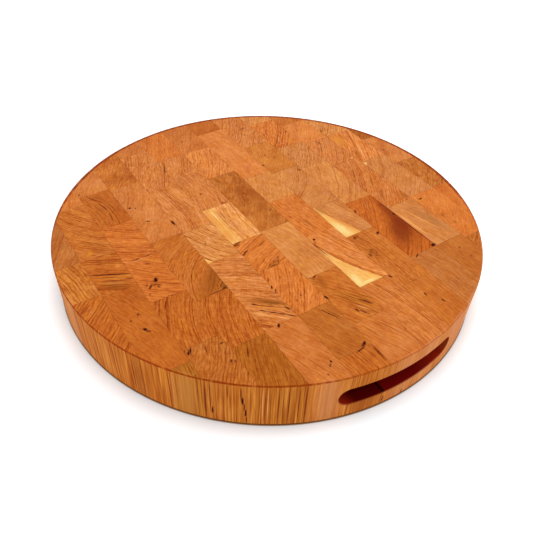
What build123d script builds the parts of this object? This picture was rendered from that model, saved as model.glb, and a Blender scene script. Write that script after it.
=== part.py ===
"""A round end-grain chopping block, glued up from rows of upright wood blocks.

The block lies on its flat underside, whose centre is the origin. Its rows run along Y and
lie side by side along X. One finger grip is cut into the rim at each end of the Y axis.
"""
from build123d import *
from math import hypot, sqrt
import os

# The finished block
block_diameter = 406.4
block_thickness = 50.8
top_edge_rounding = 1.5
bottom_edge_rounding = 1.5

# The rows of wood blocks, and how far the middle row lies to the right of the centre
row_width = 32.0
row_shift = -1.2

# The finger grips: a slot with round ends, halfway up the rim
grip_length = 114.3
grip_height = 19.05
grip_depth = 19.05
grip_mouth_rounding = 0.8

# How far a cutting shape runs past what it cuts, and how near counts as touching
overrun = 5.0
touching_distance = 0.01

# Where each row's cross joints lie, from its far end to its near end, as shares of the
# row's half length. The rows of a side go from the rim inwards.
left_joint_shares = [
    (0.27, -0.21),
    (0.76, 0.185, -0.18, -0.86),
    (0.715, 0.363, 0.03, -0.307, -0.656),
    (0.628, 0.1, -0.372, -0.688),
    (0.856, 0.477, 0.086, -0.168, -0.636),
    (0.7, 0.51, 0.187, -0.103, -0.325, -0.62, -0.884),
]
middle_joint_shares = (0.696, 0.416, -0.092, -0.462, -0.77)
right_joint_shares = [
    (0.615, 0.065, -0.464),
    (0.632, 0.191, -0.336, -0.85),
    (0.811, 0.532, 0.224, -0.3, -0.692),
    (0.843, 0.522, 0.273, -0.132, -0.632),
    (0.598, 0.295, -0.071, -0.338, -0.722),
    (0.834, 0.318, 0.079, -0.234, -0.62),
]

block_radius = block_diameter / 2
middle_height = block_thickness / 2


def rounded_disc():
    """The whole block before the finger grips are cut: a disc with eased edges."""
    disc = Pos(0, 0, middle_height) * Cylinder(block_radius, block_thickness)
    disc = fillet(disc.edges().group_by(Axis.Z)[-1], top_edge_rounding)
    return fillet(disc.edges().group_by(Axis.Z)[0], bottom_edge_rounding)


def grip_cutter(side):
    """The slot that one finger grip takes out, on the near side (-1) or the far side (1)."""
    outline = SlotOverall(grip_length, grip_height)
    cutter = extrude(outline, grip_depth + overrun, dir=(0, 0, 1))
    slot_floor = block_radius - grip_depth
    return Pos(0, side * slot_floor, middle_height) * Rot(-90 * side, 0, 0) * cutter


def is_grip_mouth(edge):
    """Whether an edge runs round the mouth of a finger grip, on the rim's surface."""
    spots = [edge @ 0, edge @ 0.5, edge @ 1]
    gaps = [abs(hypot(spot.X, spot.Y) - block_radius) for spot in spots]
    near_grip = abs(spots[1].X) <= grip_length / 2 and abs(spots[1].Y) > grip_length / 2
    return near_grip and max(gaps) < touching_distance


def finished_disc():
    """The whole block as it is after the rim and the finger grips are cut and eased."""
    disc = rounded_disc() - grip_cutter(-1) - grip_cutter(1)
    return fillet(disc.edges().filter_by(is_grip_mouth), grip_mouth_rounding)


def side_rows(side_name, side, side_joint_shares):
    """The name, edges and joint shares of each row on one side, from the rim inwards.

    The side is -1 on the left and 1 on the right. There are as many rows as it takes for
    the outermost, which runs out to the rim, to be about as wide as the others.
    """
    row_count = round((block_radius - row_width / 2) / row_width)
    rows = []
    for place in range(row_count):
        inner_edge = row_shift + side * (row_count - place - 1 / 2) * row_width
        outer_edge = inner_edge + side * row_width
        if place == 0:
            outer_edge = side * (block_radius + overrun)
        joint_shares = side_joint_shares[place % len(side_joint_shares)]
        left, right = sorted([inner_edge, outer_edge])
        rows.append((f"{side_name}_row_{place + 1}", left, right, joint_shares))
    return rows


def all_rows():
    """The name, left edge, right edge and joint shares of every row."""
    rows = side_rows("left", -1, left_joint_shares)
    middle_left = row_shift - row_width / 2
    middle_right = row_shift + row_width / 2
    rows.append(("middle_row", middle_left, middle_right, middle_joint_shares))
    return rows + side_rows("right", 1, right_joint_shares)


def row_half_length(left, right):
    """Half the length of a row, along the edge of it that is nearest the centre."""
    nearest = max(left, -right, 0)
    return sqrt(block_radius**2 - nearest**2)


def wood_block(disc, left, right, near, far):
    """One wood block: what the finished disc has between four upright planes."""
    size = (right - left, far - near, block_thickness + 2 * overrun)
    middle = ((left + right) / 2, (near + far) / 2, middle_height)
    return (disc & Pos(*middle) * Box(*size)).solid()


def row_blocks(disc, left, right, joint_shares):
    """The wood blocks of one row, from its far end to its near end."""
    half_length = row_half_length(left, right)
    ends = [block_radius + overrun]
    ends += [share * half_length for share in joint_shares]
    ends += [-block_radius - overrun]
    spans = zip(ends[:-1], ends[1:])
    return [wood_block(disc, left, right, near, far) for far, near in spans]


def named_nodes():
    """Every node's name and its solids.

    A row's two end blocks, which the rim cuts round, share one node.
    """
    disc = finished_disc()
    nodes = {}
    for row_name, left, right, joint_shares in all_rows():
        blocks = row_blocks(disc, left, right, joint_shares)
        nodes[f"{row_name}_end_blocks"] = [blocks[0], blocks[-1]]
        for place, block in enumerate(blocks[1:-1], start=2):
            nodes[f"{row_name}_block_{place}"] = [block]
    return nodes


os.makedirs("parts", exist_ok=True)
for name, solids in named_nodes().items():
    shape = solids[0] if len(solids) == 1 else Compound(children=solids)
    export_step(shape, f"parts/{name}.step")
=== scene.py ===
"""The round end-grain chopping block in cherry wood, on a white floor under soft light."""
import math
import bpy
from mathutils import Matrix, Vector


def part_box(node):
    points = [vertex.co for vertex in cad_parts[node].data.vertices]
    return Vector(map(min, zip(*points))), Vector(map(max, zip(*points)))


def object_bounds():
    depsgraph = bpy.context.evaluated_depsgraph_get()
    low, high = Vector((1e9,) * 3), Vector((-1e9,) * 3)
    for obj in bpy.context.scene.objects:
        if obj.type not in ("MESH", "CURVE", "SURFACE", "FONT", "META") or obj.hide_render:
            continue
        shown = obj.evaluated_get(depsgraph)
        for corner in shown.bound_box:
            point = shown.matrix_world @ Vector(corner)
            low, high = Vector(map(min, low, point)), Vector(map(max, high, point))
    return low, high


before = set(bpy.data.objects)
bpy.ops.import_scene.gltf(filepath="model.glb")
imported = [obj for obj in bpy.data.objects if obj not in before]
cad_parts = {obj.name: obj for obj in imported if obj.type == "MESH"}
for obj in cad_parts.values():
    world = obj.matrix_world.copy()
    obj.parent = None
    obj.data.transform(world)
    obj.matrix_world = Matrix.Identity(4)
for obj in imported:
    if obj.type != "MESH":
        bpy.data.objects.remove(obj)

cad_low, cad_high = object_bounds()

# The frame is in metres, and the wood's figure in millimetres
mm_per_metre = 1000

# The camera's place, the way it looks and its lens
camera_place = Vector((-0.2525, -0.3748, 0.3888))
camera_azimuth = math.radians(-30.93)
camera_elevation = math.radians(44.96)
camera_lens_mm = 38.79
camera_sensor_mm = 36.0
camera_shift = (0.0488, 0.0591)
camera_clip_start = 0.01

# The light: an even white surround and wide soft lamps, by name, with the power in watts, the
# size across and the place
surround_strength = 0.86
lamps = {
    "overhead": (1.0, 1.6, Vector((-0.5, -0.3, 1.5))),
    "right_window": (3.6, 0.9, Vector((0.86, -0.48, 0.27))),
    "left_window": (1.2, 0.9, Vector((-0.98, -0.1, 0.27))),
}

# The floor, which the camera sees bright enough to be white away from the block, how far from the
# block it darkens with painted shade, in metres, how much light is left where the two meet, and the
# colour and width, in metres, of a painted shadow line along the block's foot
floor_size = 8.0
floor_colour = (0.8, 0.8, 0.8, 1)
floor_colour_seen = (1.33, 1.45, 1.51, 1)
painted_crevice_shadow_colour_seen = (0.33, 0.14, 0.04, 1)
contact_reach = 0.018
contact_light_share = 0.43
painted_crevice_shadow_width = 0.0013

# The block's own measures, from the frame
block_radius = (cad_high.x - cad_low.x) / 2
radius_mm = block_radius * mm_per_metre
top_mm = cad_high.z * mm_per_metre
row_names = [f"left_row_{n}" for n in range(1, 7)] + ["middle_row"]
row_names += [f"right_row_{n}" for n in range(6, 0, -1)]
row_low, row_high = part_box("middle_row_block_2")
row_width_mm = (row_high.x - row_low.x) * mm_per_metre

# A distance from the pith that no wood is at, for blocks without sapwood
beyond_all_wood = 10 * radius_mm

# The finger grips' length and height, in millimetres
grip_length_mm = 114.3
grip_height_mm = 19.05


def from_screen(red, green, blue):
    """A colour from its screen values of 0 to 255, as the linear colour that nodes take."""
    def linear(value):
        share = value / 255
        if share <= 0.04045:
            return share / 12.92
        return ((share + 0.055) / 1.055) ** 2.4
    return (linear(red), linear(green), linear(blue), 1)


# The tones of the wood blocks, from pale to dark
tone_screens = {
    "pale_tan": (235, 151, 78), "tan": (220, 137, 68), "pale_orange": (225, 132, 62),
    "grey_tan": (212, 130, 65), "salmon": (215, 126, 60), "light_orange": (219, 122, 50),
    "golden": (209, 122, 48), "rose": (209, 118, 52), "red_orange": (212, 114, 44),
    "brown_orange": (203, 112, 42), "dull_rose": (196, 113, 50), "brown": (193, 107, 40),
    "mahogany": (201, 102, 32), "red_brown": (196, 103, 34), "olive_brown": (180, 104, 32),
    "dark_brown": (179, 96, 26),
}
tones = {name: from_screen(*screen) for name, screen in tone_screens.items()}

# The colours of what the tones don't cover
sapwood = from_screen(250, 184, 98)
long_grain = from_screen(203, 121, 38)
joint_colour = from_screen(110, 50, 12)
rim_colour = from_screen(152, 56, 0)
# Painted shade along the block's foot
painted_foot_shade = from_screen(60, 26, 1)
# Painted shade inside the finger grips, warmer past the middle row's edge and lighter at their lit
# ends, with a dark seam where two rows meet
painted_grip_shade = from_screen(86, 1, 0)
painted_grip_shade_warm = from_screen(112, 4, 1)
painted_grip_lit_ends = from_screen(146, 32, 6)
# Painted shade on the grips' lower lips
painted_grip_lip_shade = from_screen(122, 54, 12)
grip_seam = from_screen(20, 1, 0)

# How each kind of grain is drawn: how far apart its rings are, in millimetres, and how strong its
# rings, bands, clouds, streaks and rays are and how far its lines wander, as shares
figure_parts = ("Spacing", "Rings", "Bands", "Clouds", "Streaks", "Rays", "Wander")
figure_shares = {
    "plain": (3.0, 0.4, 0.5, 1.0, 0.4, 0.3, 0.5),
    "fine": (2.4, 0.9, 0.5, 0.7, 0.7, 0.4, 0.3),
    "lined": (3.0, 1.1, 0.7, 0.6, 0.9, 0.5, 0.35),
    "wavy": (2.8, 0.95, 0.7, 0.7, 0.8, 0.5, 0.6),
    "mottled": (3.2, 0.4, 0.5, 2.2, 0.7, 0.4, 1.0),
}


def wood(tone, figure, line_angle, pith_share, sap_share=None, sap_blur=0.7):
    """The look of one wood block.

    Its growth lines run at line_angle, in degrees from X, at its middle, and its pith lies
    pith_share row widths to the left of that direction, or to the right where it is
    negative. What lies more than sap_share row widths beyond the block's middle, seen from
    the pith, is sapwood, and sap_blur is how soft its border is, in millimetres.
    """
    return {
        "tone": tone,
        "figure": figure,
        "line_angle": line_angle,
        "pith_share": pith_share,
        "sap_share": sap_share,
        "sap_blur": sap_blur,
    }


# The wood blocks of each row, from its far end to its near end, as wood() takes them
row_wood_shares = {
    "left_row_1": [
        ("dull_rose", "plain", 68, 9), ("golden", "lined", 98, 8), ("red_brown", "lined", 57, -7),
    ],
    "left_row_2": [
        ("pale_orange", "plain", 80, 8), ("brown_orange", "fine", 130, -5),
        ("red_brown", "lined", 153, 7), ("red_brown", "plain", 108, 9),
        ("olive_brown", "fine", 75, 9),
    ],
    "left_row_3": [
        ("salmon", "plain", 60, 7), ("red_brown", "fine", 100, 2.2),
        ("red_orange", "fine", 148, -5), ("red_orange", "fine", 140, -6),
        ("red_brown", "lined", 70, -5), ("brown", "lined", 50, 8),
    ],
    "left_row_4": [
        ("brown_orange", "mottled", 60, 6), ("salmon", "plain", 63, 8),
        ("brown_orange", "fine", 48, -2.2), ("red_brown", "lined", 69, -6),
        ("dark_brown", "fine", 75, -8),
    ],
    "left_row_5": [
        ("rose", "plain", 60, 7), ("salmon", "fine", 66, 9), ("salmon", "wavy", 90, 6),
        ("tan", "lined", 120, -4, 0.69), ("salmon", "lined", 142, 5), ("rose", "plain", 110, 8),
    ],
    "left_row_6": [
        ("light_orange", "plain", 65, 8), ("salmon", "fine", 65, 9), ("salmon", "fine", 86, 7),
        ("pale_tan", "fine", 87, -8, 0.2, 3.5), ("light_orange", "fine", 25, -5),
        ("light_orange", "fine", 60, 7), ("brown", "plain", 112, -5), ("red_brown", "fine", 92, 6),
    ],
    "middle_row": [
        ("rose", "plain", 60, 7), ("pale_orange", "fine", 62, 8), ("brown", "mottled", 62, 5),
        ("tan", "plain", 100, 7), ("brown_orange", "fine", 125, 6), ("rose", "plain", 113, 6),
    ],
    "right_row_6": [
        ("red_brown", "plain", 60, 6), ("pale_orange", "plain", 98, 8), ("tan", "plain", 65, 6),
        ("light_orange", "fine", 98, -6), ("pale_orange", "fine", 111, -5.95, 0.27),
        ("rose", "fine", 98, 8),
    ],
    "right_row_5": [
        ("salmon", "fine", 58, 8), ("golden", "plain", 50, 7), ("grey_tan", "plain", 47, 7),
        ("grey_tan", "plain", 107, -11.8, 0.22), ("brown_orange", "fine", 92, 7),
        ("brown_orange", "plain", 92, 7),
    ],
    "right_row_4": [
        ("tan", "fine", 55, 7), ("light_orange", "lined", 55, 7), ("grey_tan", "fine", 57, 7),
        ("tan", "plain", 60, 6), ("mahogany", "fine", 55, 6), ("dull_rose", "plain", 95, 7),
    ],
    "right_row_3": [
        ("brown_orange", "plain", 55, 7), ("pale_orange", "plain", 57, 7),
        ("salmon", "fine", 57, 6), ("rose", "fine", 60, 6), ("grey_tan", "plain", 104, 8),
        ("brown", "plain", 90, 7),
    ],
    "right_row_2": [
        ("tan", "fine", 60, 7), ("pale_orange", "fine", 66, 8), ("grey_tan", "plain", 50, 7),
        ("light_orange", "plain", 60, 7), ("brown", "lined", 35, 6),
    ],
    "right_row_1": [
        ("dark_brown", "plain", 60, 6), ("salmon", "plain", 60, 7), ("brown", "lined", 52, 6),
        ("red_orange", "plain", 55, 7),
    ],
}


def mark_kind(core, border, strength, softness, raggedness, depth):
    """A kind of mark in the wood.

    Core and border are the screen colours of its middle and its edge, strength is how much
    of it shows, and depth is how far down it goes, in millimetres.
    """
    inputs = {
        "Core": from_screen(*core),
        "Border": from_screen(*border),
        "Strength": strength,
        "Softness": softness,
        "Raggedness": raggedness,
    }
    return {"inputs": inputs, "depth": depth}


# The kinds of mark, as mark_kind() takes them
mark_kind_shares = {
    "spot": ((120, 48, 12), (165, 80, 25), 0.85, 0.9, 0.5, 12),
    "crack": ((48, 8, 0), (110, 40, 8), 1, 0.6, 0.6, 15),
    "seam": ((92, 26, 4), (140, 58, 12), 1, 0.6, 0.12, 80),
    "dash": ((84, 26, 4), (140, 60, 14), 0.9, 0.7, 0.45, 20),
    "line": ((112, 40, 4), (150, 66, 10), 0.9, 0.8, 0.2, 80),
    "streak": ((145, 72, 16), (165, 86, 24), 0.7, 0.9, 0.3, 80),
    "shadow": ((134, 42, 0), (172, 72, 2), 0.76, 1, 0.2, 80),
    "olive": ((142, 78, 18), (168, 92, 28), 0.85, 0.9, 0.3, 80),
    "umber": ((168, 86, 22), (182, 98, 32), 0.7, 1, 0.35, 80),
    "grey": ((184, 118, 62), (192, 122, 66), 0.6, 1, 0.2, 80),
    "sage": ((198, 127, 56), (198, 124, 52), 0.7, 0.9, 0.2, 80),
    # Pale wood on the top, and painted sheen where it lies wide on the rim
    "blush_and_sheen": ((218, 142, 88), (214, 134, 80), 0.6, 1, 0.3, 80),
    "amber": ((240, 156, 74), (242, 164, 82), 0.9, 0.7, 0.2, 80),
    "golden": ((226, 140, 46), (218, 130, 44), 0.75, 0.9, 0.25, 80),
    "light": ((248, 168, 96), (240, 156, 84), 0.85, 0.9, 0.2, 80),
    "pale": ((254, 200, 116), (250, 180, 98), 0.85, 0.8, 0.3, 80),
    "cream": ((254, 222, 144), (252, 204, 120), 0.9, 1, 0.3, 80),
}
mark_kinds = {name: mark_kind(*shares) for name, shares in mark_kind_shares.items()}

# The kinds that run on across a joint, being damage. The others are growth and end at it
crossing_kinds = ("crack", "dash", "spot")


def top_mark(kind, x_share, y_share, turn, length, width):
    """A mark on the top, by its row of the table below."""
    middle = Vector((x_share * radius_mm, y_share * radius_mm, top_mm))
    half_size = Vector((length / 2, width / 2, mark_kinds[kind]["depth"]))
    return {"kind": kind, "middle": middle, "turn": math.radians(turn), "half_size": half_size}


def rim_mark(kind, place, height_share, length, width):
    """A mark on the rim, by its row of the table below."""
    turn = math.radians(place)
    middle = Vector((radius_mm * math.cos(turn), radius_mm * math.sin(turn), height_share * top_mm))
    reach_in = 2.5
    half_size = Vector((reach_in, width / 2, length / 2))
    return {"kind": kind, "middle": middle, "turn": turn, "half_size": half_size}


# The marks on the top, roughly from left to right. Each has its kind, its middle's place as shares
# of the block's radius, its turn from X in degrees, and its length and width in millimetres
top_mark_shares = [
    # The second row from the left
    ("spot", -0.785, -0.388, 130, 7.5, 3.6), ("crack", -0.793, -0.373, 110, 4, 3.4),
    ("spot", -0.824, -0.305, 90, 3.2, 2.6), ("spot", -0.784, -0.286, 60, 6.5, 1.6),
    ("spot", -0.784, -0.286, 140, 6.5, 1.6), ("umber", -0.79, -0.1, 154, 40, 8),
    ("sage", -0.8, -0.066, 154, 36, 4), ("golden", -0.79, -0.034, 154, 38, 4),
    ("seam", -0.7925, -0.0075, 154, 46, 2), ("line", -0.8, -0.026, 154, 34, 1.2),
    ("line", -0.79, -0.054, 154, 38, 1.3), ("golden", -0.745, -0.044, 154, 16, 1.8),
    ("line", -0.731, -0.07, 153, 9, 1.8), ("line", -0.82, -0.068, 154, 26, 1.1),
    ("streak", -0.785, -0.098, 154, 30, 1.4), ("streak", -0.81, -0.085, 155, 30, 1.4),
    ("streak", -0.765, 0.215, 128, 18, 2), ("streak", -0.79, 0.225, 128, 16, 1.6),
    ("streak", -0.745, 0.19, 128, 14, 1.8), ("golden", -0.82, 0.165, 60, 10, 8),
    ("blush_and_sheen", -0.8, 0.136, 0, 22, 1.6),
    # The third row from the left
    ("spot", -0.704, 0.622, 100, 4.4, 3), ("line", -0.66, 0.55, 118, 18, 1.8),
    ("line", -0.637, 0.465, 101, 24, 2), ("line", -0.634, 0.37, 84, 20, 1.6),
    ("streak", -0.625, 0.54, 118, 20, 1.8), ("streak", -0.6, 0.45, 99, 24, 1.8),
    ("streak", -0.659, 0.45, 100, 26, 1.6), ("streak", -0.692, 0.5, 108, 18, 1.8),
    ("streak", -0.678, 0.42, 96, 20, 1.6), ("streak", -0.675, 0.345, 88, 14, 1.4),
    ("crack", -0.638, -0.138, 60, 6.4, 5), ("dash", -0.674, -0.165, 48, 9, 2.6),
    ("spot", -0.683, -0.148, 60, 7, 1.4), ("dash", -0.645, -0.184, 120, 4, 2),
    ("spot", -0.655, -0.163, 0, 6, 4), ("spot", -0.64, -0.172, 150, 6, 3.4),
    ("spot", -0.696, -0.206, 60, 3.6, 1.8), ("dash", -0.623, -0.028, 150, 7, 1.7),
    ("spot", -0.618, -0.256, 0, 3.4, 2.2), ("dash", -0.6, 0.024, 0, 8, 1.6),
    ("dash", -0.655, 0.026, 2, 10, 1.5), ("golden", -0.615, 0, 140, 20, 3),
    ("golden", -0.585, -0.03, 140, 14, 2.6), ("blush_and_sheen", -0.65, 0.014, 178, 26, 2),
    ("line", -0.668, -0.295, 65, 15, 1.3), ("spot", -0.7, -0.563, 62, 9, 5),
    ("crack", -0.704, -0.567, 62, 6, 1.3), ("crack", -0.69, -0.557, 62, 7, 1.3),
    ("spot", -0.64, -0.585, 75, 14, 1.6), ("dash", -0.573, -0.587, 0, 4.4, 2.4),
    ("streak", -0.59, -0.6, 80, 14, 1.6), ("dash", -0.585, -0.68, 60, 4.4, 2.2),
    ("spot", -0.572, -0.69, 100, 3.6, 2.4),
    # The fourth row from the left
    ("crack", -0.532, 0.391, 90, 3.4, 2.8), ("spot", -0.508, 0.374, 60, 4, 2.4),
    ("dash", -0.498, 0.25, 148, 6.5, 2.2), ("crack", -0.402, 0.181, 94, 9, 2.6),
    ("umber", -0.45, -0.275, 48, 80, 26), ("umber", -0.415, -0.24, 62, 54, 16),
    ("streak", -0.43, -0.27, 52, 40, 1.6), ("streak", -0.45, -0.3, 48, 30, 1.4),
    ("streak", -0.415, -0.22, 58, 30, 1.4), ("olive", -0.403, -0.322, 52, 22, 11),
    ("line", -0.45, -0.335, 0, 26, 1.5), ("streak", -0.403, -0.26, 90, 34, 1.6),
    ("dash", -0.411, -0.328, 10, 7, 2.2), ("spot", -0.406, -0.275, 55, 5, 1.2),
    ("spot", -0.417, -0.285, 55, 5, 1.2), ("dash", -0.406, -0.298, 55, 4.4, 1.2),
    ("spot", -0.43, -0.3, 55, 5, 1.2), ("dash", -0.419, -0.31, 55, 4.4, 1.2),
    ("spot", -0.437, -0.32, 50, 4.4, 1.2), ("streak", -0.47, -0.3, 50, 18, 1.6),
    ("streak", -0.435, -0.245, 52, 24, 1.6), ("dash", -0.51, -0.675, 62, 16, 1.4),
    ("umber", -0.43, -0.76, 88, 34, 9),
    # The fifth row from the left
    ("golden", -0.31, -0.527, 141, 38, 3), ("light", -0.36, -0.54, 138, 20, 3),
    ("umber", -0.305, -0.486, 141, 50, 11), ("olive", -0.29, -0.505, 141, 32, 5),
    ("line", -0.322, -0.508, 141, 36, 1.3), ("line", -0.305, -0.563, 138, 36, 1.2),
    ("crack", -0.347, -0.524, 140, 7, 1.2), ("crack", -0.318, -0.551, 137, 7, 1.5),
    ("crack", -0.29, -0.578, 138, 7, 1.3), ("dash", -0.262, -0.606, 138, 9, 1.5),
    ("dash", -0.253, -0.562, 110, 8, 2.8), ("dash", -0.357, -0.476, 140, 6, 1.8),
    ("light", -0.3, -0.595, 136, 18, 2.6), ("crack", -0.337, -0.624, 60, 5, 2.8),
    ("crack", -0.27, -0.872, 95, 3.4, 1.8), ("spot", -0.283, -0.884, 45, 6, 2.6),
    ("spot", -0.315, -0.914, 90, 3, 2), ("streak", -0.342, -0.035, 60, 8, 1.6),
    ("streak", -0.346, -0.035, 130, 8, 1.4),
    # The sixth row from the left
    ("umber", -0.222, 0.655, 75, 20, 5), ("dash", -0.238, 0.61, 68, 18, 1.8),
    ("spot", -0.18, 0.317, 50, 4.4, 2.8), ("spot", -0.118, 0.195, 150, 7, 2.2),
    ("streak", -0.171, 0.1, 88, 26, 1.3), ("golden", -0.214, 0.07, 89, 44, 1.5),
    ("golden", -0.2, 0.03, 90, 34, 1.2), ("streak", -0.186, 0.08, 89, 38, 1.3),
    ("golden", -0.222, 0.172, 20, 9, 4), ("streak", -0.163, 0, 88, 18, 1.3),
    ("amber", -0.226, -0.035, 88, 26, 8), ("light", -0.196, 0.11, 89, 36, 4),
    ("cream", -0.206, 0.12, 89, 26, 1.8), ("amber", -0.23, 0.1, 89, 44, 7),
    ("spot", -0.229, -0.116, 0, 8, 5), ("dash", -0.236, -0.118, 90, 5, 1.6),
    ("dash", -0.215, -0.106, 0, 9, 1.6), ("crack", -0.217, -0.178, 22, 6.5, 1.8),
    ("dash", -0.232, -0.19, 30, 6, 2), ("dash", -0.128, -0.166, 22, 14, 1.5),
    ("umber", -0.15, -0.305, 25, 26, 7), ("spot", -0.172, -0.306, 40, 6, 1.5),
    ("spot", -0.148, -0.298, 35, 6, 1.5), ("dash", -0.126, -0.303, 35, 5, 1.4),
    ("spot", -0.114, -0.282, 50, 6, 1.5), ("dash", -0.155, -0.318, 3, 12, 1.4),
    ("dash", -0.232, -0.385, 60, 5, 1.4), ("crack", -0.243, -0.43, 62, 5, 1.5),
    ("dash", -0.24, -0.455, 60, 7, 1.4), ("dash", -0.178, -0.395, 58, 5, 1.3),
    ("dash", -0.165, -0.53, 60, 4, 1.3), ("dash", -0.195, -0.545, 62, 4, 1.2),
    ("crack", -0.083, -0.592, 100, 8, 2.2), ("dash", -0.128, -0.675, 115, 26, 1.4),
    ("streak", -0.11, -0.69, 112, 24, 1.8), ("dash", -0.112, -0.868, 30, 9, 3.6),
    ("crack", -0.107, -0.866, 60, 4, 2.4), ("dash", -0.14, -0.884, 10, 12, 1.8),
    ("dash", -0.09, -0.93, 90, 20, 1.6),
    # The middle row
    ("spot", -0.03, 0.822, 60, 5, 3), ("umber", 0.035, 0.35, 62, 26, 9),
    ("spot", 0.036, 0.388, 120, 4, 2.4), ("umber", -0.05, 0.37, 100, 20, 6),
    ("umber", 0, 0.245, 60, 26, 12), ("umber", 0.03, 0.08, 70, 24, 12),
    ("umber", 0.04, 0.2, 75, 30, 9), ("spot", 0.05, 0.03, 30, 6, 2.4),
    ("spot", -0.04, 0.125, 60, 3.4, 2.4), ("spot", 0.008, 0.215, 60, 4.6, 2.4),
    ("spot", -0.015, 0.165, 30, 3.4, 2.2), ("umber", -0.045, -0.515, 78, 26, 10),
    ("dash", -0.052, -0.468, 30, 7, 1.8), ("umber", 0.012, -0.66, 121, 46, 12),
    ("golden", -0.008, -0.625, 121, 34, 1.8), ("streak", -0.026, -0.628, 120, 32, 1.7),
    ("streak", 0.002, -0.635, 121, 34, 1.8), ("spot", 0.006, -0.642, 121, 10, 1.4),
    ("golden", 0.016, -0.648, 121, 34, 1.6), ("streak", 0.034, -0.66, 122, 28, 1.6),
    ("streak", 0.05, -0.655, 122, 26, 1.8), ("golden", 0.022, -0.7, 121, 24, 1.8),
    ("line", 0.012, -0.705, 121, 18, 1.4), ("streak", -0.006, -0.715, 120, 24, 1.6),
    ("streak", 0.03, -0.74, 121, 16, 1.6), ("dash", 0.043, -0.695, 125, 16, 2.6),
    ("dash", -0.02, -0.715, 100, 6, 2.2), ("dash", 0, -0.74, 120, 11, 1.8),
    ("light", 0.012, -0.715, 122, 16, 1.6), ("streak", 0.03, -0.85, 113, 36, 1.6),
    ("streak", -0.045, -0.83, 105, 30, 1.4),
    # The sixth row from the right
    ("crack", 0.096, -0.264, 30, 4, 3), ("spot", 0.086, -0.285, 60, 7, 1.5),
    ("spot", 0.074, -0.31, 100, 12, 2), ("line", 0.078, -0.355, 97, 20, 1.3),
    ("cream", 0.092, -0.58, 86, 30, 11), ("cream", 0.13, -0.606, 0, 22, 5),
    ("dash", 0.228, -0.632, 120, 5, 2.8), ("umber", 0.165, -0.455, 108, 46, 2.2),
    ("umber", 0.145, -0.15, 100, 30, 4),
    # The fifth row from the right
    ("spot", 0.343, 0.775, 58, 5, 3), ("spot", 0.303, 0.722, 62, 9, 1.6),
    ("spot", 0.318, 0.712, 60, 7, 1.6), ("spot", 0.294, 0.462, 30, 4.6, 2.8),
    ("spot", 0.232, 0.38, 60, 6, 4), ("olive", 0.372, 0.248, 80, 9, 5),
    ("cream", 0.251, -0.268, 97, 38, 15), ("amber", 0.286, -0.245, 109, 48, 5),
    ("sage", 0.25, -0.098, 100, 22, 10), ("crack", 0.262, -0.352, 75, 4.4, 2.6),
    ("streak", 0.27, -0.35, 20, 12, 4), ("spot", 0.376, -0.378, 30, 6, 4),
    ("crack", 0.379, -0.374, 15, 4, 2.6), ("umber", 0.268, -0.475, 60, 16, 13),
    ("dash", 0.245, -0.48, 95, 6, 2.2), ("spot", 0.262, -0.466, 60, 6, 1.6),
    ("spot", 0.279, -0.484, 60, 6, 1.6), ("spot", 0.272, -0.453, 150, 8, 1.6),
    ("spot", 0.27, -0.498, 160, 9, 1.5), ("dash", 0.28, -0.787, 80, 5.4, 2.2),
    ("dash", 0.317, -0.852, 90, 5, 2),
    # The fourth row from the right
    ("golden", 0.5, 0.52, 30, 12, 8), ("spot", 0.474, 0.597, 60, 5.4, 2.4),
    ("spot", 0.532, 0.612, 57, 12, 2), ("spot", 0.556, 0.652, 55, 5, 2),
    ("streak", 0.44, 0.56, 56, 20, 2.2), ("light", 0.455, 0.565, 56, 20, 1.6),
    ("umber", 0.51, -0.38, 68, 92, 34), ("shadow", 0.532, -0.31, 85, 104, 20),
    ("shadow", 0.485, -0.41, 60, 70, 32), ("line", 0.542, -0.26, 90, 50, 1.6),
    ("seam", 0.542, -0.43, 90, 56, 1.7), ("crack", 0.537, -0.571, 25, 6.5, 4),
    ("crack", 0.539, -0.303, 85, 5, 2.4), ("dash", 0.392, -0.193, 60, 7, 2.4),
    ("blush_and_sheen", 0.48, -0.178, 54, 20, 1.2), ("blush_and_sheen", 0.46, -0.168, 54, 18, 1),
    ("dash", 0.42, -0.59, 30, 6, 2.4),
    # The third row from the right
    ("spot", 0.624, 0.415, 55, 6, 2.4), ("streak", 0.6, 0.36, 56, 24, 2),
    ("streak", 0.59, 0.06, 60, 34, 2.6), ("streak", 0.63, -0.03, 60, 30, 2),
    ("streak", 0.6, -0.15, 58, 30, 2.6), ("umber", 0.685, -0.21, 70, 14, 7),
    ("light", 0.685, 0.197, 40, 7, 3.6), ("grey", 0.66, -0.42, 102, 66, 14),
    ("light", 0.622, -0.4, 104, 56, 2), ("light", 0.56, -0.4, 92, 50, 5),
    ("spot", 0.625, -0.645, 60, 4, 2.2), ("spot", 0.625, -0.713, 60, 4, 2.2),
    # The second row from the right
    ("spot", 0.716, 0.518, 60, 11, 2), ("golden", 0.735, 0.38, 80, 34, 14),
    ("light", 0.775, 0.235, 68, 50, 3.2), ("light", 0.83, 0.385, 68, 34, 2),
    ("light", 0.81, 0.475, 62, 16, 1.8), ("pale", 0.712, 0.115, 60, 7, 4),
    ("umber", 0.735, 0.22, 66, 20, 6), ("golden", 0.735, -0.285, 5, 14, 6),
    ("dash", 0.735, -0.277, 5, 6.5, 2.6), ("umber", 0.735, -0.43, 60, 10, 6),
    ("umber", 0.745, -0.5, 70, 8, 5), ("spot", 0.888, 0.172, 60, 5, 2.6),
]
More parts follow.
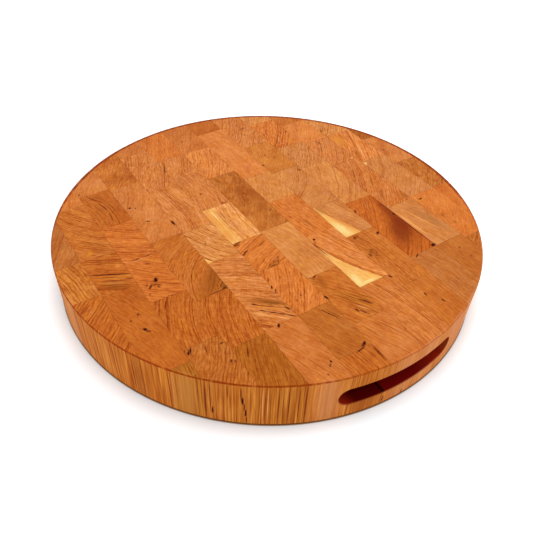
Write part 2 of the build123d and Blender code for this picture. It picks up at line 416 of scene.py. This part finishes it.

# The marks on the rim, from the left end of what the photograph shows to the right. Each has its
# kind, its place round from X in degrees, the share of the thickness that its middle is up, its
# length up the rim and its width along it, in millimetres
# The wide blush marks at -176 degrees and from -89.5 to -64 degrees are painted sheen on the rim
# towards its left and right ends
rim_mark_shares = [
    ("blush_and_sheen", -176, 0.5, 120, 34), ("streak", -158, 0.55, 60, 1.8), ("umber", -151.9, 0.5, 90, 12),
    ("line", -153.2, 0.5, 60, 1.6), ("line", -150.6, 0.5, 70, 1.1), ("streak", -146, 0.5, 60, 1.1),
    ("blush_and_sheen", -142.9, 0.5, 90, 2.6), ("line", -143.7, 0.5, 70, 1.1), ("sage", -139.6, 0.5, 120, 22),
    ("line", -135.4, 0.5, 70, 2), ("line", -134.3, 0.6, 60, 1.4), ("crack", -133.9, 0.26, 10, 1.5),
    ("line", -130.5, 0.78, 26, 1.4), ("line", -127.6, 0.78, 20, 1.5), ("crack", -127.3, 0.6, 13, 2),
    ("crack", -126.9, 0.44, 13, 1.4), ("crack", -126.6, 0.3, 11, 2),
    ("dash", -126.4, 0.12, 12, 1.4), ("light", -123, 0.5, 70, 1.4), ("line", -122.5, 0.5, 60, 0.8),
    ("light", -121.9, 0.5, 70, 1.2), ("line", -121.3, 0.5, 60, 0.8), ("line", -119.6, 0.5, 60, 1),
    ("line", -118.6, 0.5, 60, 0.8), ("line", -117.4, 0.5, 66, 1.2), ("line", -115.3, 0.45, 60, 1.2),
    ("line", -113.8, 0.5, 66, 1.5), ("blush_and_sheen", -109, 0.5, 120, 26), ("umber", -99.8, 0.25, 64, 40),
    ("dash", -94.8, 0.13, 10, 1.8), ("blush_and_sheen", -89.5, 0.5, 120, 36), ("blush_and_sheen", -83, 0.6, 120, 46),
    ("blush_and_sheen", -72, 0.7, 120, 40), ("blush_and_sheen", -64, 0.8, 120, 44), ("blush_and_sheen", -65.5, 0.8, 70, 36),
    ("dash", -89.1, 0.06, 8, 1.8),
]

marks = [top_mark(*row) for row in top_mark_shares]
marks += [rim_mark(*row) for row in rim_mark_shares]


class Tree:
    """A node tree that grows by calls. Most calls give back the new node's output."""

    def __init__(self, tree):
        self.tree = tree

    def node(self, kind, inputs=(), **settings):
        """A new node of a kind, with its settings.

        Its inputs, by name or by number, are linked to outputs or set to values.
        """
        node = self.tree.nodes.new(kind)
        for name, value in settings.items():
            setattr(node, name, value)
        for key, value in dict(inputs).items():
            if isinstance(value, bpy.types.NodeSocket):
                self.tree.links.new(value, node.inputs[key])
            else:
                node.inputs[key].default_value = value
        return node

    def add(self, kind, inputs=(), output=0, **settings):
        """One output of a new node."""
        return self.node(kind, inputs, **settings).outputs[output]

    def group(self, group, inputs):
        """All outputs of a new node of a group."""
        return self.node("ShaderNodeGroup", inputs, node_tree=group).outputs

    def math(self, operation, *values):
        """A sum with numbers."""
        return self.add("ShaderNodeMath", enumerate(values), operation=operation)

    def product(self, first, second):
        """Two numbers multiplied."""
        return self.math("MULTIPLY", first, second)

    def added(self, value, factor, base):
        """A number times a factor, added to a base."""
        return self.math("MULTIPLY_ADD", value, factor, base)

    def vector(self, operation, *values):
        """A sum with vectors. Its result is a number for LENGTH, DISTANCE and DOT_PRODUCT."""
        output = 1 if operation in ("LENGTH", "DISTANCE", "DOT_PRODUCT") else 0
        return self.add("ShaderNodeVectorMath", enumerate(values), output, operation=operation)

    def scaled(self, vector, factor):
        """A vector times one number."""
        return self.add("ShaderNodeVectorMath", {0: vector, 3: factor}, operation="SCALE")

    def parts(self, vector):
        """The three numbers of a vector."""
        return tuple(self.node("ShaderNodeSeparateXYZ", {0: vector}).outputs)

    def joined(self, x, y, z):
        """A vector from its three numbers."""
        return self.add("ShaderNodeCombineXYZ", {0: x, 1: y, 2: z})

    def ramp(self, value, start, end, low=0.0, high=1.0):
        """Goes smoothly from low to high as the value goes from start to end."""
        inputs = {"Value": value, "From Min": start, "From Max": end, "To Min": low, "To Max": high}
        return self.add("ShaderNodeMapRange", inputs, interpolation_type="SMOOTHSTEP")

    def blend(self, share, first, second):
        """A colour between two, by the share of the second."""
        inputs = {0: share, 6: first, 7: second}
        return self.add("ShaderNodeMix", inputs, 2, data_type="RGBA", blend_type="MIX")

    def between(self, share, first, second):
        """A number between two, by the share of the second."""
        return self.add("ShaderNodeMix", {0: share, 2: first, 3: second}, data_type="FLOAT")

    def times(self, first, second):
        """Two colours multiplied."""
        inputs = {0: 1.0, 6: first, 7: second}
        return self.add("ShaderNodeMix", inputs, 2, data_type="RGBA", blend_type="MULTIPLY")

    def noise(self, place, size, detail=2.0, roughness=0.5):
        """Smooth noise about zero, from -0.5 to 0.5, with features about as large as size."""
        inputs = {"Vector": place, "Scale": 1 / size, "Detail": detail, "Roughness": roughness}
        cloud = self.add("ShaderNodeTexNoise", inputs, noise_dimensions="3D")
        return self.math("SUBTRACT", cloud, 0.5)

    def noise_vector(self, place, size, detail=1.0):
        """Smooth noise as a vector about zero."""
        inputs = {"Vector": place, "Scale": 1 / size, "Detail": detail}
        cloud = self.add("ShaderNodeTexNoise", inputs, 1, noise_dimensions="3D")
        return self.vector("SUBTRACT", cloud, (0.5, 0.5, 0.5))

    def noise_line(self, value, size, detail=1.0):
        """Smooth noise about zero along one number."""
        inputs = {"W": value, "Scale": 1 / size, "Detail": detail}
        cloud = self.add("ShaderNodeTexNoise", inputs, noise_dimensions="1D")
        return self.math("SUBTRACT", cloud, 0.5)


def new_group(name, inputs, outputs):
    """A node group with named sockets, its tree to build in and its input sockets."""
    group = bpy.data.node_groups.new(name, "ShaderNodeTree")
    for socket_name, socket_type in inputs.items():
        group.interface.new_socket(name=socket_name, in_out="INPUT", socket_type=socket_type)
    for socket_name, socket_type in outputs.items():
        group.interface.new_socket(name=socket_name, in_out="OUTPUT", socket_type=socket_type)
    return group, Tree(group), group.nodes.new("NodeGroupInput").outputs


def empty_tree(owner):
    """The node tree of a material or a world, cleared to build in."""
    owner.use_nodes = True
    owner.node_tree.nodes.clear()
    return Tree(owner.node_tree)


number = "NodeSocketFloat"
vector = "NodeSocketVector"
colour = "NodeSocketColor"


def make_figure_group():
    """The colour and height of a block's wood at a place, in millimetres.

    Growth rings are upright tubes about the pith, so the top shows arcs and the rim stripes.
    Lengths are in millimetres here and in the other groups.
    """
    group, tree, given = new_group(
        "cherry_figure",
        {
            "Place": vector, "Tone": colour, "Pith": vector, "Reach": number,
            "Lowest": vector, "Highest": vector, "Seed": number, "Spacing": number,
            "Rings": number, "Bands": number, "Clouds": number, "Streaks": number,
            "Rays": number, "Wander": number, "Sap Radius": number, "Sap Blur": number,
        },
        {"Color": colour, "Height": number},
    )
    place = given["Place"]
    place_x, place_y, place_z = tree.parts(place)
    flat = tree.joined(place_x, place_y, 0)
    normal = tree.node("ShaderNodeTexCoord").outputs["Normal"]
    upright_range = (0.5, 0.2)
    upright = tree.ramp(tree.math("ABSOLUTE", tree.parts(normal)[2]), *upright_range)

    # Each block has its own stretch of the noises, which change slowly from its foot to its top
    seed_distance = Vector((37, 61, 13))
    ring_seed_distance = 17.3
    climb_share = 0.12
    seed_step = tree.scaled(seed_distance, given["Seed"])
    ring_seed = tree.product(given["Seed"], ring_seed_distance)
    slow_z = tree.product(place_z, climb_share)
    along = tree.vector("ADD", tree.joined(place_x, place_y, slow_z), seed_step)

    # The rings, thin and dark at their outer side and uneven in width and strength. They wander in
    # wide waves and in small ones
    wide_wave, wide_wander = 38, 12
    small_wave, small_wander = 7, 2.4
    uneven_stretch, unevenness = 2.6, 2.4
    weakest_share = 0.2
    late_rise_shares, late_fall_shares = (0.45, 0.88), (1, 0.92)
    wander_far = tree.product(given["Wander"], wide_wander)
    wander_near = tree.product(given["Wander"], small_wander)
    wide_waves = tree.scaled(tree.noise_vector(along, wide_wave), wander_far)
    small_waves = tree.scaled(tree.noise_vector(along, small_wave), wander_near)
    wandered = tree.vector("ADD", flat, tree.vector("ADD", wide_waves, small_waves))
    from_pith = tree.vector("MULTIPLY", tree.vector("SUBTRACT", wandered, given["Pith"]), (1, 1, 0))
    radius = tree.vector("LENGTH", from_pith)
    ring_place = tree.math("DIVIDE", radius, given["Spacing"])
    uneven = tree.noise_line(tree.math("ADD", ring_place, ring_seed), uneven_stretch)
    ring_place = tree.added(uneven, unevenness, ring_place)
    within = tree.math("FRACT", ring_place)
    ring_number = tree.math("ADD", tree.math("FLOOR", ring_place), ring_seed)
    chance = tree.add("ShaderNodeTexWhiteNoise", {"W": ring_number}, noise_dimensions="1D")
    chance = tree.product(chance, chance)
    ring_weight = tree.added(chance, 1 - weakest_share, weakest_share)
    late = tree.ramp(within, *late_rise_shares)
    late = tree.product(late, tree.ramp(within, *late_fall_shares))
    ring_line = tree.product(tree.product(late, ring_weight), given["Rings"])

    # Streaks and specks along the rings and rays across them, by their size across the rings and
    # their size along them, and broad bands and clouds. The streaks fade in places
    streak_size = (1.5, 9)
    ray_size = (8, 1.3)
    speck_size, speck_shares = (0.9, 5.5), (0.5, 0.35)
    band_stretch = 3.7
    cloud_size = 22
    fade_size, fade_offset = 16, (200, 0, 0)
    lengthwise_share = 0.02
    turn_x, turn_y = tree.parts(from_pith)[:2]
    arc = tree.product(tree.math("ARCTAN2", turn_y, turn_x), given["Reach"])
    deep = tree.added(place_z, lengthwise_share, ring_seed)

    def ring_noise(size, detail=1, roughness=0.5):
        """Noise whose features have a size across the rings and a size along them."""
        across = tree.math("DIVIDE", radius, size[0])
        along_ring = tree.math("DIVIDE", arc, size[1])
        return tree.noise(tree.joined(across, along_ring, deep), 1, detail, roughness)

    streaks = tree.product(ring_noise(streak_size, 2, 0.6), given["Streaks"])
    fade = tree.noise(tree.vector("ADD", along, fade_offset), fade_size, 1)
    streaks = tree.product(streaks, tree.added(fade, 2, 1))
    rays = tree.product(ring_noise(ray_size), given["Rays"])
    speck_strength = tree.added(given["Streaks"], *speck_shares)
    specks = tree.product(ring_noise(speck_size), speck_strength)
    bands = tree.noise_line(tree.math("ADD", ring_place, ring_seed), band_stretch)
    bands = tree.product(bands, given["Bands"])
    clouds = tree.product(tree.noise(along, cloud_size, 4, 0.6), given["Clouds"])

    # How much each of them lightens the wood, or darkens it where negative. The rim also shows
    # the wood's long fibres, and the rest a little weaker
    fibre_size = 1.5
    fibre_stretch = (1, 1, 0.03)
    fibre_share, cloud_share, ring_lift_share = 1.4, 0.45, 0.045
    rim_loss_share = -0.1
    fine = streaks
    for part, part_share in ((specks, 0.95), (rays, 0.55), (ring_line, -0.44), (bands, 0.5)):
        fine = tree.added(part, part_share, fine)
    fine = tree.product(fine, tree.added(upright, rim_loss_share, 1))
    fibre_place = tree.vector("MULTIPLY", place, fibre_stretch)
    fibres = tree.product(tree.noise(fibre_place, fibre_size, 3, 0.7), upright)
    fine = tree.added(fibres, fibre_share, fine)
    shade = tree.math("ADD", fine, tree.added(clouds, cloud_share, 1))
    shade = tree.added(given["Rings"], ring_lift_share, shade)

    # The heartwood takes its tone, and the sapwood outside it is pale, calm and yellow. A crisp
    # border between them has a dark outline
    sap_ragged_size = 5
    sap_calm_share, outline_share, long_grain_share = -0.6, -0.22, 0.55
    outline_rise, outline_fall = (-4.5, -1.5), (0.6, -0.8)
    crisp_blurs = (2, 1)
    steady_raggedness, raggedness_per_blur = 0.8, 1.5
    out = tree.vector("LENGTH", tree.vector("SUBTRACT", flat, given["Pith"]))
    raggedness = tree.added(given["Sap Blur"], raggedness_per_blur, steady_raggedness)
    ragged = tree.product(tree.noise(along, sap_ragged_size), raggedness)
    beyond = tree.math("SUBTRACT", tree.math("ADD", out, ragged), given["Sap Radius"])
    beyond = tree.math("DIVIDE", beyond, given["Sap Blur"])
    sap = tree.ramp(beyond, -1, 1)
    outline = tree.product(tree.ramp(beyond, *outline_rise), tree.ramp(beyond, *outline_fall))
    outline = tree.product(outline, tree.ramp(given["Sap Blur"], *crisp_blurs))
    calm = tree.added(sap, sap_calm_share, 1)
    shade = tree.added(tree.math("SUBTRACT", shade, 1), calm, 1)
    shade = tree.added(outline, outline_share, shade)
    body = tree.blend(tree.product(upright, long_grain_share), given["Tone"], long_grain)
    body = tree.blend(sap, body, sapwood)

    # Darker wood is also redder, and patches lean to yellow or to pink
    darkest_share = 0.25
    green_power, blue_power = 1.8, 2.8
    hue_size, hue_offset = 11, (0, 300, 0)
    green_lean_share, blue_lean_share = 0.16, 1.1
    shade = tree.math("MAXIMUM", shade, darkest_share)
    green_shade = tree.math("POWER", shade, green_power)
    blue_shade = tree.math("POWER", shade, blue_power)
    hue = tree.noise(tree.vector("ADD", along, hue_offset), hue_size, 3)
    green_lean = tree.added(hue, green_lean_share, 1)
    blue_lean = tree.added(hue, blue_lean_share, 1)
    coloured = tree.times(body, tree.joined(shade, green_shade, blue_shade))
    coloured = tree.times(coloured, tree.joined(1, green_lean, blue_lean))

    # A thin dark line of glue along the block's edges, fainter in places
    glue_range = (0.5, 0.1)
    patch_size, patch_range, patch_shares = 9, (-0.15, 0.25), (0, 0.75)
    low_x, low_y = tree.parts(tree.vector("SUBTRACT", place, given["Lowest"]))[:2]
    high_x, high_y = tree.parts(tree.vector("SUBTRACT", given["Highest"], place))[:2]
    edge = tree.math("MINIMUM", low_x, high_x)
    edge = tree.math("MINIMUM", edge, tree.math("MINIMUM", low_y, high_y))
    glue = tree.ramp(edge, *glue_range)
    patches = tree.ramp(tree.noise(along, patch_size, 1), *patch_range, *patch_shares)
    coloured = tree.blend(tree.product(glue, patches), coloured, joint_colour)

    height = tree.math("SUBTRACT", fine, glue)
    tree.node("NodeGroupOutput", {"Color": coloured, "Height": height})
    return group


def make_mark_group():
    """One mark, drawn over the colour and height it is given."""
    group, tree, given = new_group(
        "wood_mark",
        {
            "Place": vector, "Color": colour, "Height": number, "Middle": vector,
            "Turn": number, "Half Size": vector, "Core": colour, "Border": colour,
            "Strength": number, "Softness": number, "Raggedness": number,
        },
        {"Color": colour, "Height": number},
    )
    # Where it ends and where its colours change, as shares of its half size
    edge_share = 1.15
    core_shares = (0.9, 0.35)
    ragged_size = 1.8
    ragged_stretch = (1, 1, 0.2)
    ragged_share = 2
    sunk_height = -1.5
    sunk_darkness = (0.06, 0.02)
    offset = tree.vector("SUBTRACT", given["Place"], given["Middle"])
    turned = tree.add(
        "ShaderNodeVectorRotate",
        {"Vector": offset, "Angle": tree.product(given["Turn"], -1)},
        rotation_type="Z_AXIS",
    )
    reach = tree.vector("LENGTH", tree.vector("DIVIDE", turned, given["Half Size"]))
    squeezed = tree.vector("MULTIPLY", given["Place"], ragged_stretch)
    ragged = tree.product(tree.noise(squeezed, ragged_size), given["Raggedness"])
    reach = tree.added(ragged, ragged_share, reach)
    inner = tree.math("SUBTRACT", edge_share, given["Softness"])
    mask = tree.product(tree.ramp(reach, edge_share, inner), given["Strength"])
    body = tree.blend(tree.ramp(reach, *core_shares), given["Border"], given["Core"])

    # Only the darkest marks are sunk
    dark = tree.add("ShaderNodeRGBToBW", {0: given["Core"]})
    sunk = tree.product(mask, tree.ramp(dark, *sunk_darkness))
    tree.node("NodeGroupOutput", {
        "Color": tree.blend(mask, given["Color"], body),
        "Height": tree.added(sunk, sunk_height, given["Height"]),
    })
    return group


def painted_grip_shade_at(tree, x):
    """The painted shade inside a grip, darkest at the seam where two rows meet and lighter towards
    its lit ends.
    """
    seam_x = row_low.x * mm_per_metre
    seam_range, seam_share = (2.2, 0.4), 0.9
    half_change = 1
    end_shares = ((-1.25, -1.6), (0.4, 1.7))
    past_seam = tree.ramp(x, seam_x - half_change, seam_x + half_change)
    deep = tree.blend(past_seam, painted_grip_shade, painted_grip_shade_warm)
    for start_share, end_share in end_shares:
        near_end = tree.ramp(x, start_share * row_width_mm, end_share * row_width_mm)
        deep = tree.blend(near_end, deep, painted_grip_lit_ends)
    from_seam = tree.math("ABSOLUTE", tree.math("SUBTRACT", x, seam_x))
    seam = tree.product(tree.ramp(from_seam, *seam_range), seam_share)
    return tree.blend(seam, deep, grip_seam)


def make_finish_and_painted_shade_group():
    """The oiled surface over the wood, with painted shade in its colour: its shader, from the
    wood's colour and height.

    The eased top edge gets a thin dark line, the foot and the grips' lower lips get painted shade,
    and the insides of the grips get painted shade.
    """
    group, tree, given = new_group(
        "oiled_finish_and_painted_shade",
        {"Place": vector, "Color": colour, "Height": number},
        {"Shader": "NodeSocketShader"},
    )
    place = given["Place"]
    x, y, z = tree.parts(place)
    out = tree.vector("LENGTH", tree.joined(x, y, 0))
    body = given["Color"]

    # The dark line round the top edge, strongest on the left and widest on the far side
    left_shares, far_shares, wide_shares = (-0.5, 0.1), (-0.1, 0.3), (-0.3, 0.4)
    left_strengths = (1, 0.45)
    far_widening = 3.6
    line_wave, line_wander = 7, 0.8
    start_in, full_in, start_down, full_down = 1.1, 0.4, 2.1, 1.2
    patch_size, patch_range, patch_shares = 3.5, (-0.25, 0.1), (0.45, 1)
    x_share = 0.6
    away = tree.added(x, x_share, y)
    wide_range = [share * radius_mm for share in wide_shares]
    far_range = [share * radius_mm for share in far_shares]
    left_range = [share * radius_mm for share in left_shares]
    line_out = tree.added(tree.noise(place, line_wave), line_wander, out)
    line_out = tree.math("ADD", line_out, tree.ramp(away, *wide_range, 0, far_widening))
    edge_line = tree.product(
        tree.ramp(line_out, radius_mm - start_in, radius_mm - full_in),
        tree.ramp(z, top_mm - start_down, top_mm - full_down),
    )
    strength = tree.ramp(x, *left_range, *left_strengths)
    strength = tree.math("MAXIMUM", strength, tree.ramp(away, *far_range))
    patchy = tree.ramp(tree.noise(place, patch_size), *patch_range, *patch_shares)
    strength = tree.product(strength, patchy)
    body = tree.blend(tree.product(edge_line, strength), body, rim_colour)

    # Painted shade along the line where the rim meets what the block stands on
    foot_shade_share = 0.9
    foot_range = (2.2, 1)
    start_in, full_in = 2.4, 1.2
    foot = tree.ramp(out, radius_mm - start_in, radius_mm - full_in)
    foot = tree.product(tree.ramp(z, *foot_range), foot)
    body = tree.blend(tree.product(foot, foot_shade_share), body, painted_foot_shade)

    # The lip of each grip's mouth is painted dark below the slot's middle, as shade
    lip_range, lip_heights, lip_share = (2.2, 0.4), (5, -6), 0.7
    start_in, full_in = 2, 1
    straight_half = (grip_length_mm - grip_height_mm) / 2
    past_ends = tree.math("SUBTRACT", tree.math("ABSOLUTE", x), straight_half)
    past_ends = tree.math("MAXIMUM", past_ends, 0)
    past_middle = tree.math("SUBTRACT", z, top_mm / 2)
    from_mouth = tree.vector("LENGTH", tree.joined(past_ends, past_middle, 0))
    from_mouth = tree.math("SUBTRACT", from_mouth, grip_height_mm / 2)
    low_side = tree.ramp(past_middle, *lip_heights)
    lip = tree.product(tree.ramp(from_mouth, *lip_range), low_side)
    on_rim = tree.ramp(out, radius_mm - start_in, radius_mm - full_in)
    lip = tree.product(lip, on_rim)
    body = tree.blend(tree.product(lip, lip_share), body, painted_grip_lip_shade)

    # Painted shade on the routed inside of the grips, a little fainter at the right end
    rim_margin = 3
    start_in, full_in = 0.02, 0.5
    fade_shares, faint_share = (1.56, 1.75), 0.7
    fade_range = [share * row_width_mm for share in fade_shares]
    inside = tree.ramp(out, radius_mm - start_in, radius_mm - full_in)
    above = tree.math("GREATER_THAN", z, rim_margin)
    below = tree.math("LESS_THAN", z, top_mm - rim_margin)
    inside = tree.product(inside, tree.product(above, below))
    inside = tree.product(inside, tree.ramp(x, *fade_range, 1, faint_share))
    body = tree.blend(inside, body, painted_grip_shade_at(tree, x))

    # The satin surface, uneven in gloss and slightly open in its grain
    gloss_size = 1.6
    middle_roughness, roughness_change = 0.5, 0.2
    bump_strength, bump_distance = 0.3, 0.15
    fine = tree.noise(place, gloss_size)
    roughness = tree.added(fine, roughness_change, middle_roughness)
    bump = tree.add(
        "ShaderNodeBump",
        {
            "Strength": bump_strength, "Distance": bump_distance / mm_per_metre,
            "Height": given["Height"],
        },
    )
    shader = tree.add(
        "ShaderNodeBsdfPrincipled",
        {
            "Base Color": body, "Roughness": roughness, "Normal": bump, "IOR": 1.45,
            "Specular IOR Level": 0.05,
        },
    )
    tree.node("NodeGroupOutput", {"Shader": shader})
    return group


figure_group = make_figure_group()
mark_group = make_mark_group()
finish_and_painted_shade_group = make_finish_and_painted_shade_group()


def figure_of(tree, place, look, box, seed):
    """One figure group set for a block. Gives back its outputs."""
    low, high = box
    across = math.radians(look["line_angle"] + 90)
    reach = look["pith_share"] * row_width_mm
    middle = (low + high) / 2
    pith = Vector((middle.x + reach * math.cos(across), middle.y + reach * math.sin(across), 0))
    sap_radius = beyond_all_wood
    if look["sap_share"] is not None:
        sap_radius = abs(reach) + look["sap_share"] * row_width_mm
    inputs = {
        "Place": place,
        "Tone": tones[look["tone"]],
        "Pith": pith,
        "Reach": abs(reach),
        "Lowest": low,
        "Highest": high,
        "Seed": seed,
        "Sap Radius": sap_radius,
        "Sap Blur": look["sap_blur"],
    }
    inputs.update(zip(figure_parts, figure_shares[look["figure"]]))
    return tree.group(figure_group, inputs)


def reaches(mark, box):
    """Whether a mark may show on a block: damage if it comes near, growth if it is inside."""
    low, high = box
    middle = mark["middle"]
    ragged_reach_share = 1.2
    spare = 0
    if mark["kind"] in crossing_kinds:
        spare = max(mark["half_size"].x, mark["half_size"].y) * ragged_reach_share
    gap_x = max(low.x - middle.x, middle.x - high.x, 0)
    gap_y = max(low.y - middle.y, middle.y - high.y, 0)
    return math.hypot(gap_x, gap_y) <= spare


def draw_mark(tree, place, body, height, mark):
    """A mark over what lies below it. Gives back the new colour and height."""
    outputs = tree.group(mark_group, {
        "Place": place,
        "Color": body,
        "Height": height,
        "Middle": mark["middle"],
        "Turn": mark["turn"],
        "Half Size": mark["half_size"],
        **mark_kinds[mark["kind"]]["inputs"],
    })
    return outputs["Color"], outputs["Height"]


def wood_material(name, looks, boxes, seeds):
    """The material of a node with one block, or with two that lie on either side of the X axis."""
    material = bpy.data.materials.new(name)
    tree = empty_tree(material)
    object_place = tree.node("ShaderNodeTexCoord").outputs["Object"]
    place = tree.scaled(object_place, mm_per_metre)
    grains = [figure_of(tree, place, *block) for block in zip(looks, boxes, seeds)]
    body = grains[0]["Color"]
    height = grains[0]["Height"]
    if len(grains) == 2:
        near = tree.math("LESS_THAN", tree.parts(place)[1], 0)
        body = tree.blend(near, body, grains[1]["Color"])
        height = tree.between(near, height, grains[1]["Height"])
    for mark in marks:
        if any(reaches(mark, box) for box in boxes):
            body, height = draw_mark(tree, place, body, height, mark)
    finish_and_painted_shade = tree.group(finish_and_painted_shade_group, {"Place": place, "Color": body, "Height": height})
    tree.node("ShaderNodeOutputMaterial", {"Surface": finish_and_painted_shade["Shader"]})
    return material


def block_boxes(row_name, count):
    """The box of each wood block of a row, in millimetres, from its far end to its near end.

    At the rim a box runs on past the wood, so that no glue line is drawn there.
    """
    past_rim = 10.0
    inner = [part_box(f"{row_name}_block_{place}") for place in range(2, count)]
    inner = [(low * mm_per_metre, high * mm_per_metre) for low, high in inner]
    ends_low, ends_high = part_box(f"{row_name}_end_blocks")
    left = min([ends_low.x * mm_per_metre] + [low.x for low, high in inner])
    right = max([ends_high.x * mm_per_metre] + [high.x for low, high in inner])
    if row_name == row_names[0]:
        left -= past_rim
    if row_name == row_names[-1]:
        right += past_rim
    edges = [radius_mm + past_rim]
    edges += [high.y for low, high in inner]
    edges += [inner[-1][0].y, -radius_mm - past_rim]
    pairs = zip(edges[:-1], edges[1:])
    return [(Vector((left, near, 0)), Vector((right, far, top_mm))) for far, near in pairs]


def dress_blocks():
    """Gives every node of the block its wood."""
    seed = 0
    for row_name in row_names:
        looks = [wood(*shares) for shares in row_wood_shares[row_name]]
        count = len(looks)
        boxes = block_boxes(row_name, count)
        seeds = [seed + place for place in range(1, count + 1)]
        seed += count
        groups = {f"{row_name}_end_blocks": [0, count - 1]}
        for place in range(1, count - 1):
            groups[f"{row_name}_block_{place + 1}"] = [place]
        for node_name, places in groups.items():
            material = wood_material(
                f"wood_{node_name}",
                [looks[place] for place in places],
                [boxes[place] for place in places],
                [seeds[place] for place in places],
            )
            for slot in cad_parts[node_name].material_slots:
                slot.material = material


def make_floor():
    """A pale floor that keeps the block's shadow, with painted shade from occlusion near the block
    and a painted shadow line along its foot, and is white away from it.
    """
    half = floor_size / 2
    corners = [(-half, -half, 0), (half, -half, 0), (half, half, 0), (-half, half, 0)]
    mesh = bpy.data.meshes.new("floor")
    mesh.from_pydata(corners, [], [(0, 1, 2, 3)])
    floor = bpy.data.objects.new("floor", mesh)
    bpy.context.scene.collection.objects.link(floor)
    material = bpy.data.materials.new("floor_white")
    tree = empty_tree(material)
    seen = tree.node("ShaderNodeLightPath").outputs["Is Camera Ray"]
    # Painted shade near the block, from occlusion, seen only by the camera
    near = tree.add("ShaderNodeAmbientOcclusion", {"Distance": contact_reach}, 1)
    shade = tree.added(near, 1 - contact_light_share, contact_light_share)
    colour_seen = tree.times(floor_colour_seen, tree.joined(shade, shade, shade))
    x, y = tree.parts(tree.node("ShaderNodeTexCoord").outputs["Object"])[:2]
    out = tree.vector("LENGTH", tree.joined(x, y, 0))
    # A painted shadow line along the block's foot, seen only by the camera
    painted_crevice_shadow = tree.ramp(out, block_radius + painted_crevice_shadow_width, block_radius)
    colour_seen = tree.blend(painted_crevice_shadow, colour_seen, painted_crevice_shadow_colour_seen)
    shader = tree.add("ShaderNodeBsdfDiffuse", {0: tree.blend(seen, floor_colour, colour_seen)})
    tree.node("ShaderNodeOutputMaterial", {"Surface": shader})
    mesh.materials.append(material)


def aimed(name, data, place, back):
    """A lamp's or camera's object in the scene, at a place and with its back one way."""
    placed = bpy.data.objects.new(name, data)
    placed.location = place
    placed.rotation_mode = "QUATERNION"
    placed.rotation_quaternion = (-back).to_track_quat("-Z", "Y")
    bpy.context.scene.collection.objects.link(placed)
    return placed


def make_light():
    """An even surround, white to the camera, and the soft lamps."""
    world = bpy.data.worlds.new("surround")
    tree = empty_tree(world)
    seen = tree.node("ShaderNodeLightPath").outputs["Is Camera Ray"]
    strength = tree.added(seen, 1 - surround_strength, surround_strength)
    light = tree.add("ShaderNodeBackground", {"Color": (1, 1, 1, 1), "Strength": strength})
    tree.node("ShaderNodeOutputWorld", {"Surface": light})
    bpy.context.scene.world = world
    for name, (power, size, place) in lamps.items():
        data = bpy.data.lights.new(name, "AREA")
        data.shape = "DISK"
        data.size = size
        data.energy = power
        aimed(name, data, place, place)


def make_camera():
    """The camera at the photograph's place."""
    back = Vector((
        math.sin(camera_azimuth) * math.cos(camera_elevation),
        -math.cos(camera_azimuth) * math.cos(camera_elevation),
        math.sin(camera_elevation),
    ))
    data = bpy.data.cameras.new("camera")
    data.lens = camera_lens_mm
    data.sensor_width = camera_sensor_mm
    data.shift_x, data.shift_y = camera_shift
    data.clip_start = camera_clip_start
    bpy.context.scene.camera = aimed("camera", data, camera_place, back)


dress_blocks()
make_floor()
make_light()
make_camera()
bpy.context.scene.view_settings.view_transform = "Standard"
